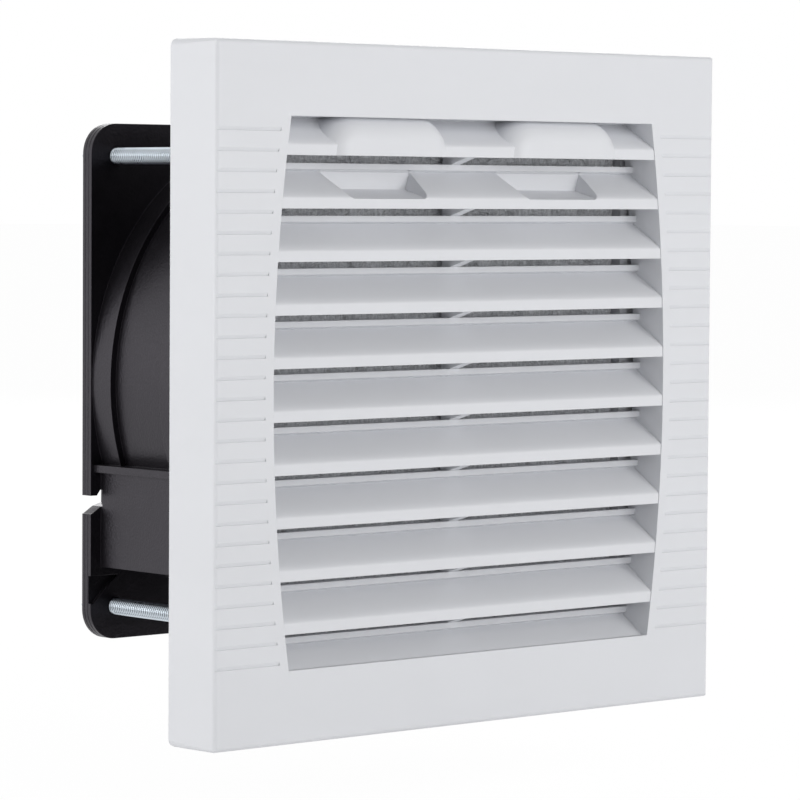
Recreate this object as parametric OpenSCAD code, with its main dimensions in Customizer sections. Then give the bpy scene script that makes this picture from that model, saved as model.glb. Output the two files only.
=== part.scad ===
// Cabinet filter fan: hinged louvred cover, snap-in base frame with filter mat, and a 120 mm axial fan behind it.
// The origin is the centre of the cabinet panel's outer surface. The cover faces -Y, the fan lies on +Y, +Z is up.

/* [Front cover] */
// How far the cover reaches past the panel cut-out on each side
cover_overlap = 15; // [14:0.1:20]
// Depth of the cover from front face to rear rim
hood_d = 15.5; // [15:0.5:18]
// Thickness of the cover's outer walls
hood_wall = 2; // [1.6:0.1:2.4]
// Thickness of the cover's front plate
hood_front_t = 2.2; // [1.8:0.1:3]
// Draft of each outer wall from front to rear
hood_draft = 0.25; // [0.1:0.05:0.5]
// Radius of the cover's four upright corners
hood_corner_r = 1.8; // [1:0.1:3]
// Radius of the rounded front edge
hood_edge_r = 1; // [0.5:0.1:1.5]
// Gap between the cover's rear rim and the panel
panel_gap = 0.5; // [0.3:0.1:1]

/* [Air opening] */
// Width of the cover's face beside the opening at half height
opening_side = 16.5; // [15:0.1:20]
// Height of the cover's face above and below the opening
opening_end = 16.4; // [15:0.1:20]
// Radius of the bowed side edges
opening_arc_r = 398; // [250:1:800]
// Thickness of the walls round the opening
opening_wall = 2; // [1.5:0.1:2.5]
// Depth of the walls round the opening
opening_d = 10.2; // [10:0.1:10.8]

/* [Louvres] */
// Vertical distance between louvres
louvre_pitch = 11.74; // [11.5:0.01:13]
// Height of the opening above the lower edge of the top louvre's lip
lip_drop = 8.55; // [8.5:0.05:10]
// Thickness of a louvre blade
louvre_t = 1.8; // [1.4:0.1:2]
// Set-back of the lip behind the front face
lip_set = 0.2; // [0.2:0.1:1]
// Height of the upright part of the lip
lip_h = 2.3; // [1.8:0.1:2.6]
// Run of the bend between lip and slope
bend_run = 2.6; // [1.8:0.1:2.8]
// Rise of the bend between lip and slope
bend_rise = 2.1; // [1.8:0.1:2.5]
// Run of the straight slope
slope_run = 6.2; // [5.8:0.1:6.4]
// Rise of the straight slope
slope_rise = 3.9; // [3.7:0.1:4.4]
// Height of the bead along the rear edge of a louvre
bead_h = 1.35; // [1.2:0.05:1.7]
// How far the bead overhangs the slope
bead_overhang = 1.3; // [0.8:0.1:1.8]
// Height of the crease between slope and bead
crease_h = 0.45; // [0.4:0.05:0.9]
// Thickness of the upright centre web
web_t = 2.8; // [2:0.1:4]
// Depth of the web's rear edge behind the louvres
web_rear = 0.8; // [0.5:0.1:1]

/* [Finger pulls] */
// Distance of each finger pull from the centre
pull_x = 27.1; // [26:0.1:30]
// Width of the hump on the top louvre
hump_w = 38; // [30:0.5:38.5]
// Shift of the hump to the right of its pocket
hump_shift = 0.6; // [0:0.1:1.2]
// Height of the hump above the lip's lower edge
hump_h = 9.2; // [9.2:0.1:9.6]
// How far the hump stands proud of the front face
hump_proud = 1.2; // [0.4:0.1:1.5]
// Radius of the hump's rounded edge
hump_edge_r = 6.5; // [5:0.1:7]
// Radius of the hump's shoulders seen from the front
hump_shoulder_r = 9; // [8.4:0.1:9.1]
// Width of the finger pocket in the second louvre
pocket_w = 27; // [20:0.5:28]
// Depth of the pocket's back wall behind the front face
pocket_d = 8.8; // [8:0.1:8.9]
// Height of the pocket's floor at the back, above the lip's lower edge
pocket_floor_z = 4.3; // [4:0.1:4.8]
// Fall of the pocket's floor towards the front
pocket_fall = 2.1; // [1.5:0.1:2.2]
// How far each side of the pocket leans in at its floor
pocket_lean = 1.8; // [0.5:0.1:3]
// Radius of the pocket's lower corners at the front
pocket_corner_r = 2.5; // [1:0.1:3]

/* [Side ribs] */
// Height of the face below the lowest rib
rib_foot = 17.5; // [15:0.1:30]
// Vertical distance between ribs
rib_pitch = 4.515; // [4:0.005:4.6]
// Height of the face above the topmost rib's step
rib_head = 19.75; // [18:0.05:30]
// Depth of the groove above each step
rib_depth = 0.28; // [0.1:0.02:0.5]
// Height of the groove above each step
rib_taper_h = 0.8; // [0.5:0.1:1.5]
// Distance from the opening's edge to the side panels
rib_margin = 2.4; // [2:0.1:6]

/* [Cover hinge and catches] */
// Outer radius of the hinge knuckles
knuckle_r = 1.5; // [1.4:0.05:1.8]
// Length of each knuckle on the cover
knuckle_l = 5; // [3:0.5:8]
// Distance of the hinges from the centre
hinge_x = 48; // [40:0.5:55]
// Width of the hinge lug on the base frame
lug_w = 8; // [5:0.5:12]
// Radius of the hinge pin
hinge_pin_r = 0.8; // [0.7:0.05:0.9]
// Radial running clearance of the hinge pin
hinge_play = 0.05; // [0.02:0.01:0.1]
// Side clearance beside the hinge lug
lug_play = 0.4; // [0.3:0.1:0.8]
// Width of the snap catches at the top
catch_w = 14; // [8:0.5:20]
// Bite of the snap catches
catch_bite = 0.3; // [0.2:0.05:0.5]

/* [Base frame] */
// Gap between the cover's walls and the base flange
flange_play = 1.5; // [1.4:0.1:2]
// Thickness of the base flange
flange_t = 2.5; // [2:0.1:3]
// How far the neck's sides lie inside the fan's sides
neck_set = 0.25; // [0.1:0.05:1]
// Wall thickness of the neck
neck_wall = 2.5; // [2:0.1:3]
// Gap between the neck's front rim and the cover's web
cover_gap = 0.4; // [0.3:0.1:0.8]
// Length of the neck behind the panel
neck_len = 16; // [15:0.5:20]
// Thickness of the plate that carries the fan
seat_t = 2; // [1.8:0.1:3]
// Width of the fan seat's rim between the fan's edge and the air passage
air_edge = 4.5; // [4.2:0.1:7]
// Pitch of the bars that keep the filter off the fan
bar_pitch = 14; // [12:0.5:16]
// Width of those bars
bar_w = 1.6; // [1.2:0.1:2.4]
// Depth of those bars
bar_h = 5; // [4.6:0.1:5.5]
// Radius of the optional screw holes in the base flange
panel_hole_r = 2.25; // [1.5:0.05:2.5]
// Distance of those holes from the flange's edge
panel_hole_edge = 6; // [5:0.1:6.5]

/* [Panel fixing] */
// Room between the neck and the edge of the panel cut-out
claw_room = 2.75; // [2.5:0.05:3.2]
// Thickest panel that the snap claws hold
panel_t = 2.5; // [1.5:0.1:3]
// Play of the locating step in the cut-out
cutout_play = 0.3; // [0.2:0.05:0.5]
// Width of each snap claw
claw_w = 12; // [8:0.5:16]
// Distance of the claws from the middle of each side
claw_x = 32; // [24:0.5:40]
// Bite of a claw behind the panel
claw_bite = 1.8; // [1:0.1:2.2]
// Length of a claw's tongue
claw_l = 9.5; // [8:0.1:10]
// Width of the slot that frees a claw
claw_slot = 1.2; // [0.8:0.1:1.6]

/* [Filter and seal] */
// Play round the filter mat
filter_play = 0.5; // [0.3:0.1:1]
// Gap between the filter mat and the cover's web
filter_gap = 0.3; // [0.3:0.1:0.6]
// Thickness of the panel seal
seal_t = 1.5; // [1:0.1:2]
// Width of the panel seal
seal_w = 7; // [6.5:0.1:7.2]
// Distance from the cut-out's edge to the seal
seal_edge = 2.6; // [2.4:0.1:3]

/* [Fan housing] */
// Width and height of the fan
fan_w = 120; // [116:0.5:121]
// Depth of the fan
fan_d = 38; // [37:0.5:40]
// Corner radius of the fan's flanges
fan_corner_r = 7; // [4:0.1:7.5]
// Thickness of the fan's flanges
fan_flange_t = 3.2; // [2.8:0.1:4]
// Distance of the fan's screw holes from the flange's edge
hole_edge = 7.5; // [7:0.1:8.5]
// Radius of the fan's screw holes
hole_r = 2.15; // [2.1:0.01:2.3]
// Depth of the two parting grooves round each flange's edge
groove_d = 0.1; // [0.1:0.05:0.4]
// Width of those grooves
groove_w = 0.3; // [0.2:0.05:0.5]
// How far the barrel lies inside the flange's edge
barrel_inset = 2; // [1.6:0.1:2.2]
// Wall thickness of the barrel
barrel_wall = 1.8; // [1.5:0.1:2]
// How far the collars at both flanges stand out from the barrel
collar_h = 1.6; // [0.8:0.1:1.6]
// Width of those collars
collar_w = 6.8; // [4:0.1:9]
// Number of struts that carry the motor
strut_count = 4; // [3:1:5]
// Width of a strut
strut_w = 6; // [4:0.1:8]
// Depth of a strut
strut_h = 6.4; // [5:0.1:6.6]
// Radius of the motor's base plate
base_r = 31; // [29:0.1:33]
// Thickness of the motor's base plate
base_t = 3.2; // [2.6:0.1:3.4]
// Set-back of the base plate from the rear of the fan
base_set = 0.8; // [0.7:0.1:1.2]

/* [Terminal box] */
// Height of the terminal box between its floor and the ledge's centre
box_h = 23; // [21:0.1:25]
// Thickness of the ledge
ledge_t = 1.7; // [1.2:0.1:2.5]
// How far the ledge stays inside the flange's edge
ledge_inset = 1; // [0.6:0.1:2]
// How far the box's wall stays inside the flange's edge
box_inset = 3; // [2.6:0.1:3.2]
// Height of the box's floor above the lower screw holes
box_clear = 9.5; // [8.5:0.1:10]
// Wall thickness of the box
box_wall = 1.8; // [1.4:0.1:2]
// Drop from the ledge's centre to the lead notch's upper edge
notch_drop = 6.3; // [5.5:0.1:7]
// Height of the lead notch
notch_h = 4.3; // [3:0.1:5]
// Depth of the lead notch from the flange's edge
notch_l = 5.5; // [5:0.1:6]
// Length of the terminal insulator
insulator_l = 6; // [4:0.1:8]
// Height of the terminal insulator
insulator_h = 7; // [6:0.1:7.2]
// Width of a terminal tab as a share of the box's inner width
tab_share = 0.467; // [0.4:0.001:0.6]
// Thickness of a terminal tab
tab_t = 0.5; // [0.5:0.1:0.8]
// Length of a terminal tab
tab_l = 6.5; // [6:0.1:7]

/* [Impeller] */
// Number of blades
blade_count = 5; // [3:1:7]
// Gap between the blade tips and the barrel
tip_gap = 1.4; // [1:0.1:2]
// Wall thickness of the impeller's hub
hub_wall = 1.9; // [1.5:0.1:2.2]
// Blade angle at the hub, from the plane of rotation
root_angle = 52; // [45:1:54]
// Blade angle at the tip, from the plane of rotation
tip_angle = 31; // [26:1:36]
// Blade chord at the hub
root_chord = 26; // [22:0.5:28]
// Blade chord at the tip
tip_chord = 34; // [28:0.5:36]
// Greatest thickness of a blade
blade_t = 2.2; // [1.6:0.1:2.4]
// Camber of a blade
blade_camber = 2.4; // [1:0.1:3]
// Forward sweep of the tip, in degrees round the axis
tip_sweep = 12; // [0:1:16]

/* [Motor] */
// Gap between the fan's front face and the impeller's hub
hub_set = 2.6; // [2:0.1:3]
// Outer radius of the rotor cup
cup_r = 28.7; // [28:0.1:29]
// Wall thickness of the rotor cup
cup_wall = 1.2; // [1:0.1:1.4]
// Gap between the rotor and the motor's base plate
cup_rear_gap = 4; // [3.7:0.1:5]
// Radial thickness of the rotor's cage
cage_t = 2.2; // [1.5:0.1:2.4]
// Gap between the rotor's cage and the stator
air_gap = 0.6; // [0.4:0.05:0.8]
// Length of the motor beyond the stator's stack
stack_room = 18; // [17:0.1:20]
// Width of a stator pole's neck
pole_w = 8; // [6:0.1:9]
// Radial thickness of a pole shoe
shoe_t = 4; // [3:0.1:4.5]
// Outer radius of the bearing tube
tube_r = 8; // [7.8:0.05:8.2]
// Radius of the shaft
shaft_r = 2; // [1.9:0.05:2.1]
// Outer radius of the bearings
bearing_r = 6.5; // [6.2:0.05:6.6]
// Width of the bearings
bearing_w = 5; // [4:0.1:5.2]
// Radial running clearance of the shaft
shaft_play = 0.04; // [0.02:0.01:0.08]
// Clearance of pieces that are pressed or slid together
seat_play = 0.03; // [0.02:0.01:0.05]

/* [Fasteners and guard] */
// Radius of the long screws
screw_r = 1.95; // [1.9:0.01:2]
// Length of the long screws under the head
screw_l = 45; // [45:0.5:48]
// Radius of the screw heads
head_r = 3.8; // [3.4:0.1:4]
// Height of the screw heads
head_h = 2.6; // [2:0.1:2.8]
// Width of the nuts across flats
nut_af = 7; // [7:0.1:8]
// Height of the nuts
nut_h = 3.2; // [2.6:0.1:3.2]
// Clearance between a nut and its screw
nut_play = 0.05; // [0.03:0.01:0.1]
// Radius of the finger guard's wire
wire_r = 0.8; // [0.7:0.05:0.9]
// Number of rings in the finger guard
guard_rings = 5; // [4:1:6]
// Distance from the fan's edge to the guard's outer ring
guard_edge = 9.2; // [8:0.1:12]
// Distance of the guard's spokes from the fan's rear face
guard_stand = 3.6; // [3:0.1:4]

/* [Hidden] */
$fn = 64;
cut = 1;
cover_grey = "#dcdde1";
frame_grey = "#d2d3d8";
fan_black = "#1c1b1e";
steel = "#b0b6bd";

// Depths along Y
front_y = -(hood_d + panel_gap);
flange_rear_y = -seal_t;
flange_front_y = flange_rear_y - flange_t;
bar_front_y = neck_len - bar_h;
seat_front_y = neck_len - seat_t;
fan_y = neck_len;
fan_rear_y = fan_y + fan_d;
base_rear_y = fan_rear_y - base_set;
base_front_y = base_rear_y - base_t;
screw_end_y = seat_front_y + screw_l;

// Widths
neck_w = fan_w - 2 * neck_set;
cutout_w = neck_w + 2 * claw_room;
hood_w = cutout_w + 2 * cover_overlap;
opening_w = hood_w - 2 * opening_side;
opening_h = hood_w - 2 * opening_end;
first_lip_z = opening_h / 2 - lip_drop;
rib_top_z = hood_w / 2 - rib_head;
rib_count = floor((hood_w - rib_head - rib_foot) / rib_pitch) + 1;
air_r = fan_w / 2 - air_edge;
hole_spacing = fan_w - 2 * hole_edge;
guard_r = fan_w / 2 - guard_edge;
box_floor_z = hole_spacing / 2 - box_clear;
ledge_z = box_floor_z - box_h;
notch_z = ledge_z + notch_drop;

// Cover
hood_rear_w = hood_w + 2 * hood_draft;
hood_inner_w = hood_w - 2 * hood_wall;
lip_end = lip_set + bend_run;
slope_end = lip_end + slope_run;
slope_top = lip_h + bend_rise + slope_rise;
bead_z = slope_top + crease_h;
bead_top = bead_z + bead_h;
blade_back = slope_end + 1;
slope_ratio = slope_rise / slope_run;
drop = louvre_t * sqrt(1 + slope_ratio * slope_ratio);
web_back = blade_back + web_rear;
rim_y = front_y + web_back + cover_gap;
louvre_count = ceil((first_lip_z + bead_top + opening_h / 2) / louvre_pitch);
wall_bite = opening_wall / 2;

// Hinge
hinge_y = -panel_gap - knuckle_r;
hinge_z = -hood_w / 2 + knuckle_r;
rim_relief = 0.6;
notch_run = 2 * knuckle_r;

// Base frame
flange_w = hood_inner_w - 2 * flange_play;
neck_in = neck_w - 2 * neck_wall;
panel_hole_x = flange_w / 2 - panel_hole_edge;
filter_w = neck_in - 2 * filter_play;
filter_front_y = front_y + web_back + filter_gap;
seal_in = cutout_w + 2 * seal_edge;
seal_out = seal_in + 2 * seal_w;

// Fan
barrel_r = fan_w / 2 - barrel_inset;
bore_r = barrel_r - barrel_wall;
collar_r = barrel_r + collar_h;
hole_x = hole_spacing / 2;
rear_flange_y = fan_rear_y - fan_flange_t;
front_flange_y = fan_y + fan_flange_t;
box_x = fan_w / 2 - box_inset;
box_in_x = box_x - box_wall;
box_in_z = box_floor_z - box_wall;
insulator_top_z = box_in_z - insulator_h;
tab_room = 0.4;
insulator_x = sqrt(collar_r * collar_r - insulator_top_z * insulator_top_z) + tab_room;
tab_w = tab_share * (box_in_x - insulator_x);

// Motor
hub_front_y = fan_y + hub_set;
hub_lip_t = 1.3;
cup_front_y = hub_front_y + hub_lip_t + 0.1;
cup_rear_y = base_front_y - cup_rear_gap;
cup_in_r = cup_r - cup_wall;
hub_in_r = cup_r + seat_play;
hub_r = hub_in_r + hub_wall;
cage_r = cup_in_r - seat_play;
cage_in_r = cage_r - cage_t;
stator_r = cage_in_r - air_gap;
tip_r = bore_r - tip_gap;
washer_gap = 0.2;
washer_t = 0.6;
boss_rear_y = cup_front_y + cup_wall + 5;
front_bearing_y = boss_rear_y + 2 * washer_gap + washer_t;
rear_bearing_y = base_rear_y - 1.8 - bearing_w;
tube_front_y = front_bearing_y - 0.2;
tube_rear_y = rear_bearing_y + bearing_w + 0.3;
stack_t = base_front_y - cup_front_y - stack_room;
stack_y = (front_bearing_y + rear_bearing_y + bearing_w - stack_t) / 2;
end_turn = 3.2;
coil_in_r = tube_r + 5;
coil_out_r = sqrt(pow(stator_r - shoe_t - 0.3, 2) - pow(pole_w / 2 + end_turn, 2));
clip_y = rear_bearing_y + bearing_w + 0.2;
clip_t = 0.6;

// Helpers

// Draws a (y, z) outline and extrudes it along X, centred on x
module along_x(length, x = 0) {
    translate([x - length / 2, 0, 0]) rotate([90, 0, 90]) linear_extrude(length) children();
}

// Draws an (x, z) outline and extrudes it along Y from y0 to y1
module along_y(y0, y1) {
    translate([0, y1, 0]) rotate([90, 0, 0]) linear_extrude(y1 - y0) children();
}

module rod_y(r, y0, y1, x = 0, z = 0) {
    translate([x, y0, z]) rotate([-90, 0, 0]) cylinder(r = r, h = y1 - y0);
}

module tube_y(r, r_in, y0, y1) {
    difference() {
        rod_y(r, y0, y1);
        rod_y(r_in, y0 - cut, y1 + cut);
    }
}

module four_corners(x) {
    for (sx = [-1, 1], sz = [-1, 1]) translate([sx * x, 0, sz * x]) children();
}

module rounded_square(w, r) {
    square([w, w - 2 * r], center = true);
    square([w - 2 * r, w], center = true);
    for (sx = [-1, 1], sy = [-1, 1]) translate([sx * (w / 2 - r), sy * (w / 2 - r)]) circle(r);
}

// Front cover

// Section of the cover's outside, depth by width, with rounded front edges and draft
module hood_profile(relief = 0) {
    half = hood_w / 2;
    rear = hood_rear_w / 2;
    polygon([
        [-panel_gap - relief, -rear], [front_y + hood_edge_r, -half], [front_y, -half + hood_edge_r],
        [front_y, half - hood_edge_r], [front_y + hood_edge_r, half], [-panel_gap, rear],
        [-panel_gap, -rear + relief]
    ]);
    for (side = [-1, 1]) translate([front_y + hood_edge_r, side * (half - hood_edge_r)]) circle(hood_edge_r);
}

module hood_block() {
    intersection() {
        along_y(front_y, -panel_gap) rounded_square(hood_rear_w, hood_corner_r);
        along_x(hood_rear_w + cut) hood_profile(rim_relief);
        translate([0, 0, -hood_rear_w / 2 - cut]) linear_extrude(hood_rear_w + 2 * cut) rotate(90) hood_profile();
    }
}

// Outline of the air opening, with bowed sides, seen from the front
module opening_outline(grow = 0) {
    centre = opening_arc_r - opening_w / 2;
    intersection() {
        square([opening_w + 2 * grow + cut, opening_h + 2 * grow], center = true);
        translate([centre, 0]) circle(opening_arc_r + grow, $fn = 360);
        translate([-centre, 0]) circle(opening_arc_r + grow, $fn = 360);
    }
}

// Both side panels, outside the bowed edges
module side_panels() {
    centre = opening_arc_r - opening_w / 2;
    difference() {
        square(hood_rear_w + 2 * cut, center = true);
        intersection() {
            square([hood_w, hood_rear_w + 4 * cut], center = true);
            translate([centre, 0]) circle(opening_arc_r + rib_margin, $fn = 360);
            translate([-centre, 0]) circle(opening_arc_r + rib_margin, $fn = 360);
        }
    }
}

// Sections of the rib grooves that are cut into the side panels, depth by height
module rib_section() {
    for (i = [0:rib_count - 1]) translate([front_y, rib_top_z - i * rib_pitch])
        polygon([[-cut, 0], [rib_depth, 0], [0, rib_taper_h], [-cut, rib_taper_h]]);
}

function bend_point(t) = [
    lip_set + t * t * bend_run,
    lip_h + 2 * t * (1 - t) * (bend_rise - bend_run * slope_ratio) + t * t * bend_rise
];

// Section of one louvre, depth by height above the lower edge of its lip
module louvre_section() {
    bend = [for (t = [0:0.2:1]) bend_point(t)];
    slope_at_back = slope_top + (blade_back - slope_end) * slope_ratio;
    lip_back = lip_set + louvre_t;
    polygon(concat(
        [[lip_set, 0]], bend,
        [
            [slope_end, slope_top], [slope_end - bead_overhang, bead_z], [slope_end - bead_overhang, bead_top],
            [blade_back, bead_top], [blade_back, slope_at_back - drop],
            [lip_back, slope_at_back - drop - (blade_back - lip_back) * slope_ratio], [lip_back, 0]
        ]
    ));
}

// Section of the centre web between one louvre and the next
module web_section() {
    polygon([
        [lip_set + louvre_t, 0.2], [slope_end - bead_overhang + 0.5, bead_top - louvre_pitch - 0.1],
        [web_back, bead_top - louvre_pitch - 0.5], [web_back, bead_top], [blade_back - 0.4, bead_top - 0.3],
        [slope_end, slope_top - 0.4],
        [lip_end, lip_h]
    ]);
}

function lip_z(i) = first_lip_z - i * louvre_pitch;

module louvres() {
    intersection() {
        along_y(front_y, front_y + web_back + cut) opening_outline(wall_bite);
        union() {
            along_x(opening_w + opening_wall)
                for (i = [0:louvre_count - 1]) translate([front_y, lip_z(i)]) louvre_section();
            along_x(web_t)
                for (i = [0:louvre_count - 1]) translate([front_y, lip_z(i)]) web_section();
        }
    }
}

// Section of the hump's rounded edge: width from the middle outwards, depth to the back
module hump_edge(w, edge, face, back) {
    intersection() {
        translate([0, face]) square([w, back - face]);
        union() {
            translate([-cut, face]) square([w - edge + cut, back - face]);
            translate([-cut, face + edge]) square([w + cut, back - face - edge]);
            translate([w - edge, face + edge]) circle(edge);
        }
    }
}

// Rounded hump of a finger pull; inset makes the hollow under it
module pull_hump(inset = 0) {
    half = hump_w / 2 - inset;
    top = hump_h - inset;
    face = inset - hump_proud;
    edge = hump_edge_r - inset;
    shoulder = hump_shoulder_r - inset;
    foot = inset > 0 ? -cut : 0;
    back = inset > 0 ? web_back + cut : slope_end;
    middle = half - shoulder;
    translate([hump_shift, front_y, first_lip_z]) intersection() {
        translate([-hump_w, -hump_proud - cut, foot]) cube([2 * hump_w, back + hump_proud + 2 * cut, hump_h + 2 * cut]);
        union() {
            translate([-middle, 0, top - shoulder]) rotate([90, 0, 90]) linear_extrude(2 * middle)
                rotate(90) mirror([0, 1]) hump_edge(shoulder, edge, face, back);
            translate([-middle, face, foot]) cube([2 * middle, back - face, top - shoulder - foot + 0.1]);
            for (side = [-1, 1]) {
                translate([side * middle, 0, top - shoulder]) rotate([-90, 0, 0]) rotate_extrude()
                    hump_edge(shoulder, edge, face, back);
                translate([side * middle, 0, foot]) linear_extrude(top - shoulder - foot)
                    mirror([side < 0 ? 1 : 0, 0]) hump_edge(shoulder, edge, face, back);
            }
        }
    }
}

module pocket_shell() {
    translate([0, front_y, lip_z(1)]) along_x(pocket_w + 2 * louvre_t) polygon([
        [lip_set + louvre_t, 1], [blade_back, pocket_floor_z - louvre_t],
        [blade_back, slope_top], [slope_end - 0.2, slope_top - 0.3], [lip_end, lip_h + bend_rise]
    ]);
}

// Outline of the pocket seen from the front, with leaning sides and rounded lower corners
module pocket_outline(top, bottom) {
    half = pocket_w / 2;
    rise = top - 1 - bottom;
    lean = atan(pocket_lean / rise);
    corner = half - pocket_lean;
    run = pocket_corner_r * tan((90 - lean) / 2);
    polygon([
        [-half, top + cut], [-half, top - 1], [-corner - run * sin(lean), bottom + run * cos(lean)],
        [-corner + run, bottom], [corner - run, bottom], [corner + run * sin(lean), bottom + run * cos(lean)],
        [half, top - 1], [half, top + cut]
    ]);
    for (side = [-1, 1]) translate([side * (corner - run), bottom + pocket_corner_r]) circle(pocket_corner_r);
}

module pocket_hollow() {
    top = slope_top + 0.4;
    front_z = pocket_floor_z - pocket_fall;
    translate([0, front_y, lip_z(1)]) intersection() {
        along_x(pocket_w + cut) polygon([
            [-cut, front_z], [lip_set, front_z], [pocket_d, pocket_floor_z], [pocket_d, top], [-cut, top]
        ]);
        along_y(-2 * cut, blade_back) pocket_outline(top, front_z - 0.05);
    }
}

module hinge_rod(r, length, x) {
    translate([x - length / 2, hinge_y, hinge_z]) rotate([0, 90, 0]) cylinder(r = r, h = length);
}

module front_cover() {
    knuckle_span = lug_w + 2 * lug_play + 2 * knuckle_l;
    color(cover_grey) difference() {
        union() {
            difference() {
                union() {
                    difference() {
                        hood_block();
                        translate([-hood_inner_w / 2, front_y + hood_front_t, -hood_inner_w / 2])
                            cube([hood_inner_w, hood_d + cut, hood_inner_w]);
                        intersection() {
                            along_x(hood_rear_w + 2 * cut) rib_section();
                            along_y(front_y - 2 * cut, front_y + hood_front_t) side_panels();
                        }
                    }
                    along_y(front_y + hood_front_t - 0.5, front_y + opening_d) opening_outline(opening_wall);
                }
                along_y(front_y - cut, front_y + opening_d + cut) opening_outline();
            }
            louvres();
            for (side = [-1, 1]) {
                translate([side * pull_x, 0, 0]) {
                    pull_hump();
                    pocket_shell();
                }
                hinge_rod(knuckle_r, knuckle_span, side * hinge_x);
                translate([side * pull_x, 0, 0]) along_x(catch_w) polygon([
                    [-panel_gap, hood_inner_w / 2 + 0.5], [-panel_gap, flange_w / 2 + catch_bite],
                    [flange_rear_y + 0.2, flange_w / 2 + catch_bite], [flange_rear_y + 0.2, hood_inner_w / 2 + 0.5]
                ]);
            }
        }
        for (side = [-1, 1]) {
            translate([side * pull_x, 0, 0]) {
                pull_hump(louvre_t);
                pocket_hollow();
            }
            translate([side * hinge_x - lug_w / 2 - lug_play, hinge_y - notch_run, -hood_rear_w / 2 - cut])
                cube([lug_w + 2 * lug_play, notch_run + hood_d, hinge_z + hood_rear_w / 2 + knuckle_r + 2 * cut]);
            hinge_rod(hinge_pin_r + hinge_play, knuckle_span + cut, side * hinge_x);
            translate([side * hinge_x - knuckle_span / 2 - cut, hinge_y, hinge_z - 0.75 * hinge_pin_r])
                cube([knuckle_span + 2 * cut, hood_d, 1.5 * hinge_pin_r]);
        }
    }
}

// Base frame

module snap_claw() {
    reach = cutout_w / 2 + claw_bite;
    difference() {
        along_x(claw_w) polygon([
            [panel_t, neck_w / 2 - neck_wall], [panel_t, reach], [panel_t + 1, reach],
            [panel_t + claw_l - 1, neck_w / 2], [panel_t + claw_l + cut, neck_w / 2],
            [panel_t + claw_l + cut, neck_w / 2 - neck_wall]
        ]);
    }
}

module claw_window() {
    translate([-claw_w / 2 - claw_slot, panel_t - claw_slot, neck_w / 2 - neck_wall - cut])
        cube([claw_w + 2 * claw_slot, claw_l + claw_slot, neck_wall + 2 * cut]);
}

module at_claws() {
    for (turn = [0:90:270], side = [-1, 1]) rotate([0, turn, 0]) translate([side * claw_x, 0, 0]) children();
}

module base_frame() {
    bars = floor(air_r / bar_pitch);
    step_w = cutout_w - 2 * cutout_play;
    color(frame_grey) {
        difference() {
            union() {
                along_y(flange_front_y, flange_rear_y) rounded_square(flange_w, 3);
                along_y(rim_y, neck_len) rounded_square(neck_w, 3);
                along_y(flange_rear_y - cut, panel_t - claw_slot - 0.5) rounded_square(step_w, 3);
                for (side = [-1, 1]) {
                    translate([side * pull_x - catch_w / 2, flange_front_y, flange_w / 2 - cut])
                        cube([catch_w, flange_t, cut + 2 * catch_bite]);
                    hinge_rod(knuckle_r, lug_w, side * hinge_x);
                    hinge_rod(hinge_pin_r, lug_w + 2 * lug_play + 2 * knuckle_l - 1, side * hinge_x);
                    translate([side * hinge_x - lug_w / 2, hinge_y - knuckle_r, hinge_z])
                        cube([lug_w, 2 * knuckle_r, -flange_w / 2 - hinge_z + cut]);
                }
            }
            difference() {
                along_y(rim_y - cut, seat_front_y) square(neck_in, center = true);
                intersection() {
                    rod_y(air_r + cut, bar_front_y, neck_len);
                    grid_bars(bars);
                }
                four_corners(hole_x) rod_y(0.1, seat_front_y - 0.01, neck_len);
            }
            difference() {
                rod_y(air_r, seat_front_y - cut, neck_len + cut);
                grid_bars(bars);
            }
            at_claws() claw_window();
            four_corners(hole_x) rod_y(hole_r, seat_front_y - cut, neck_len + cut);
            four_corners(panel_hole_x) rod_y(panel_hole_r, flange_front_y - cut, flange_rear_y + cut);
        }
        at_claws() snap_claw();
    }
}

module grid_bars(n) {
    for (i = [-n:n]) {
        translate([i * bar_pitch - bar_w / 2, bar_front_y, -neck_in / 2]) cube([bar_w, bar_h, neck_in]);
        translate([-neck_in / 2, bar_front_y, i * bar_pitch - bar_w / 2]) cube([neck_in, bar_h, bar_w]);
    }
}

module filter_mat() {
    color("#8a8b90") along_y(filter_front_y, bar_front_y) square(filter_w, center = true);
}

module panel_seal() {
    color("#2a2a2c") difference() {
        along_y(-seal_t, 0) rounded_square(seal_out, 3);
        along_y(-seal_t - cut, cut) rounded_square(seal_in, 3);
        four_corners(panel_hole_x) rod_y(panel_hole_r + 0.6, -seal_t - cut, cut);
    }
}

// Fan housing

module lead_notch() {
    half = fan_w / 2;
    polygon([
        [-half - cut, -notch_z], [-half + 1.8, -notch_z], [-half + 2.8, -notch_z + 1.3],
        [-half + notch_l, -notch_z + 1.3], [-half + notch_l, -notch_z - notch_h + 2.4],
        [-half + box_inset, -notch_z - notch_h + 1.7], [-half + 0.2, -notch_z - notch_h],
        [-half - cut, -notch_z - notch_h]
    ]);
}

module edge_groove(y) {
    along_y(y, y + groove_w) difference() {
        square(fan_w + 2 * cut, center = true);
        rounded_square(fan_w - 2 * groove_d, fan_corner_r - groove_d);
    }
}

// Shallow step in the rear flange, beside the lower screw pad
module corner_step() {
    half = fan_w / 2;
    polygon([
        [-half - cut, -box_floor_z - 2], [-half + 8, -box_floor_z - 2], [-half + 4.5, -box_floor_z - 5],
        [-half + 1.1, -box_floor_z - 8.5], [-half - cut, -box_floor_z - 8.5]
    ]);
}

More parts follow.
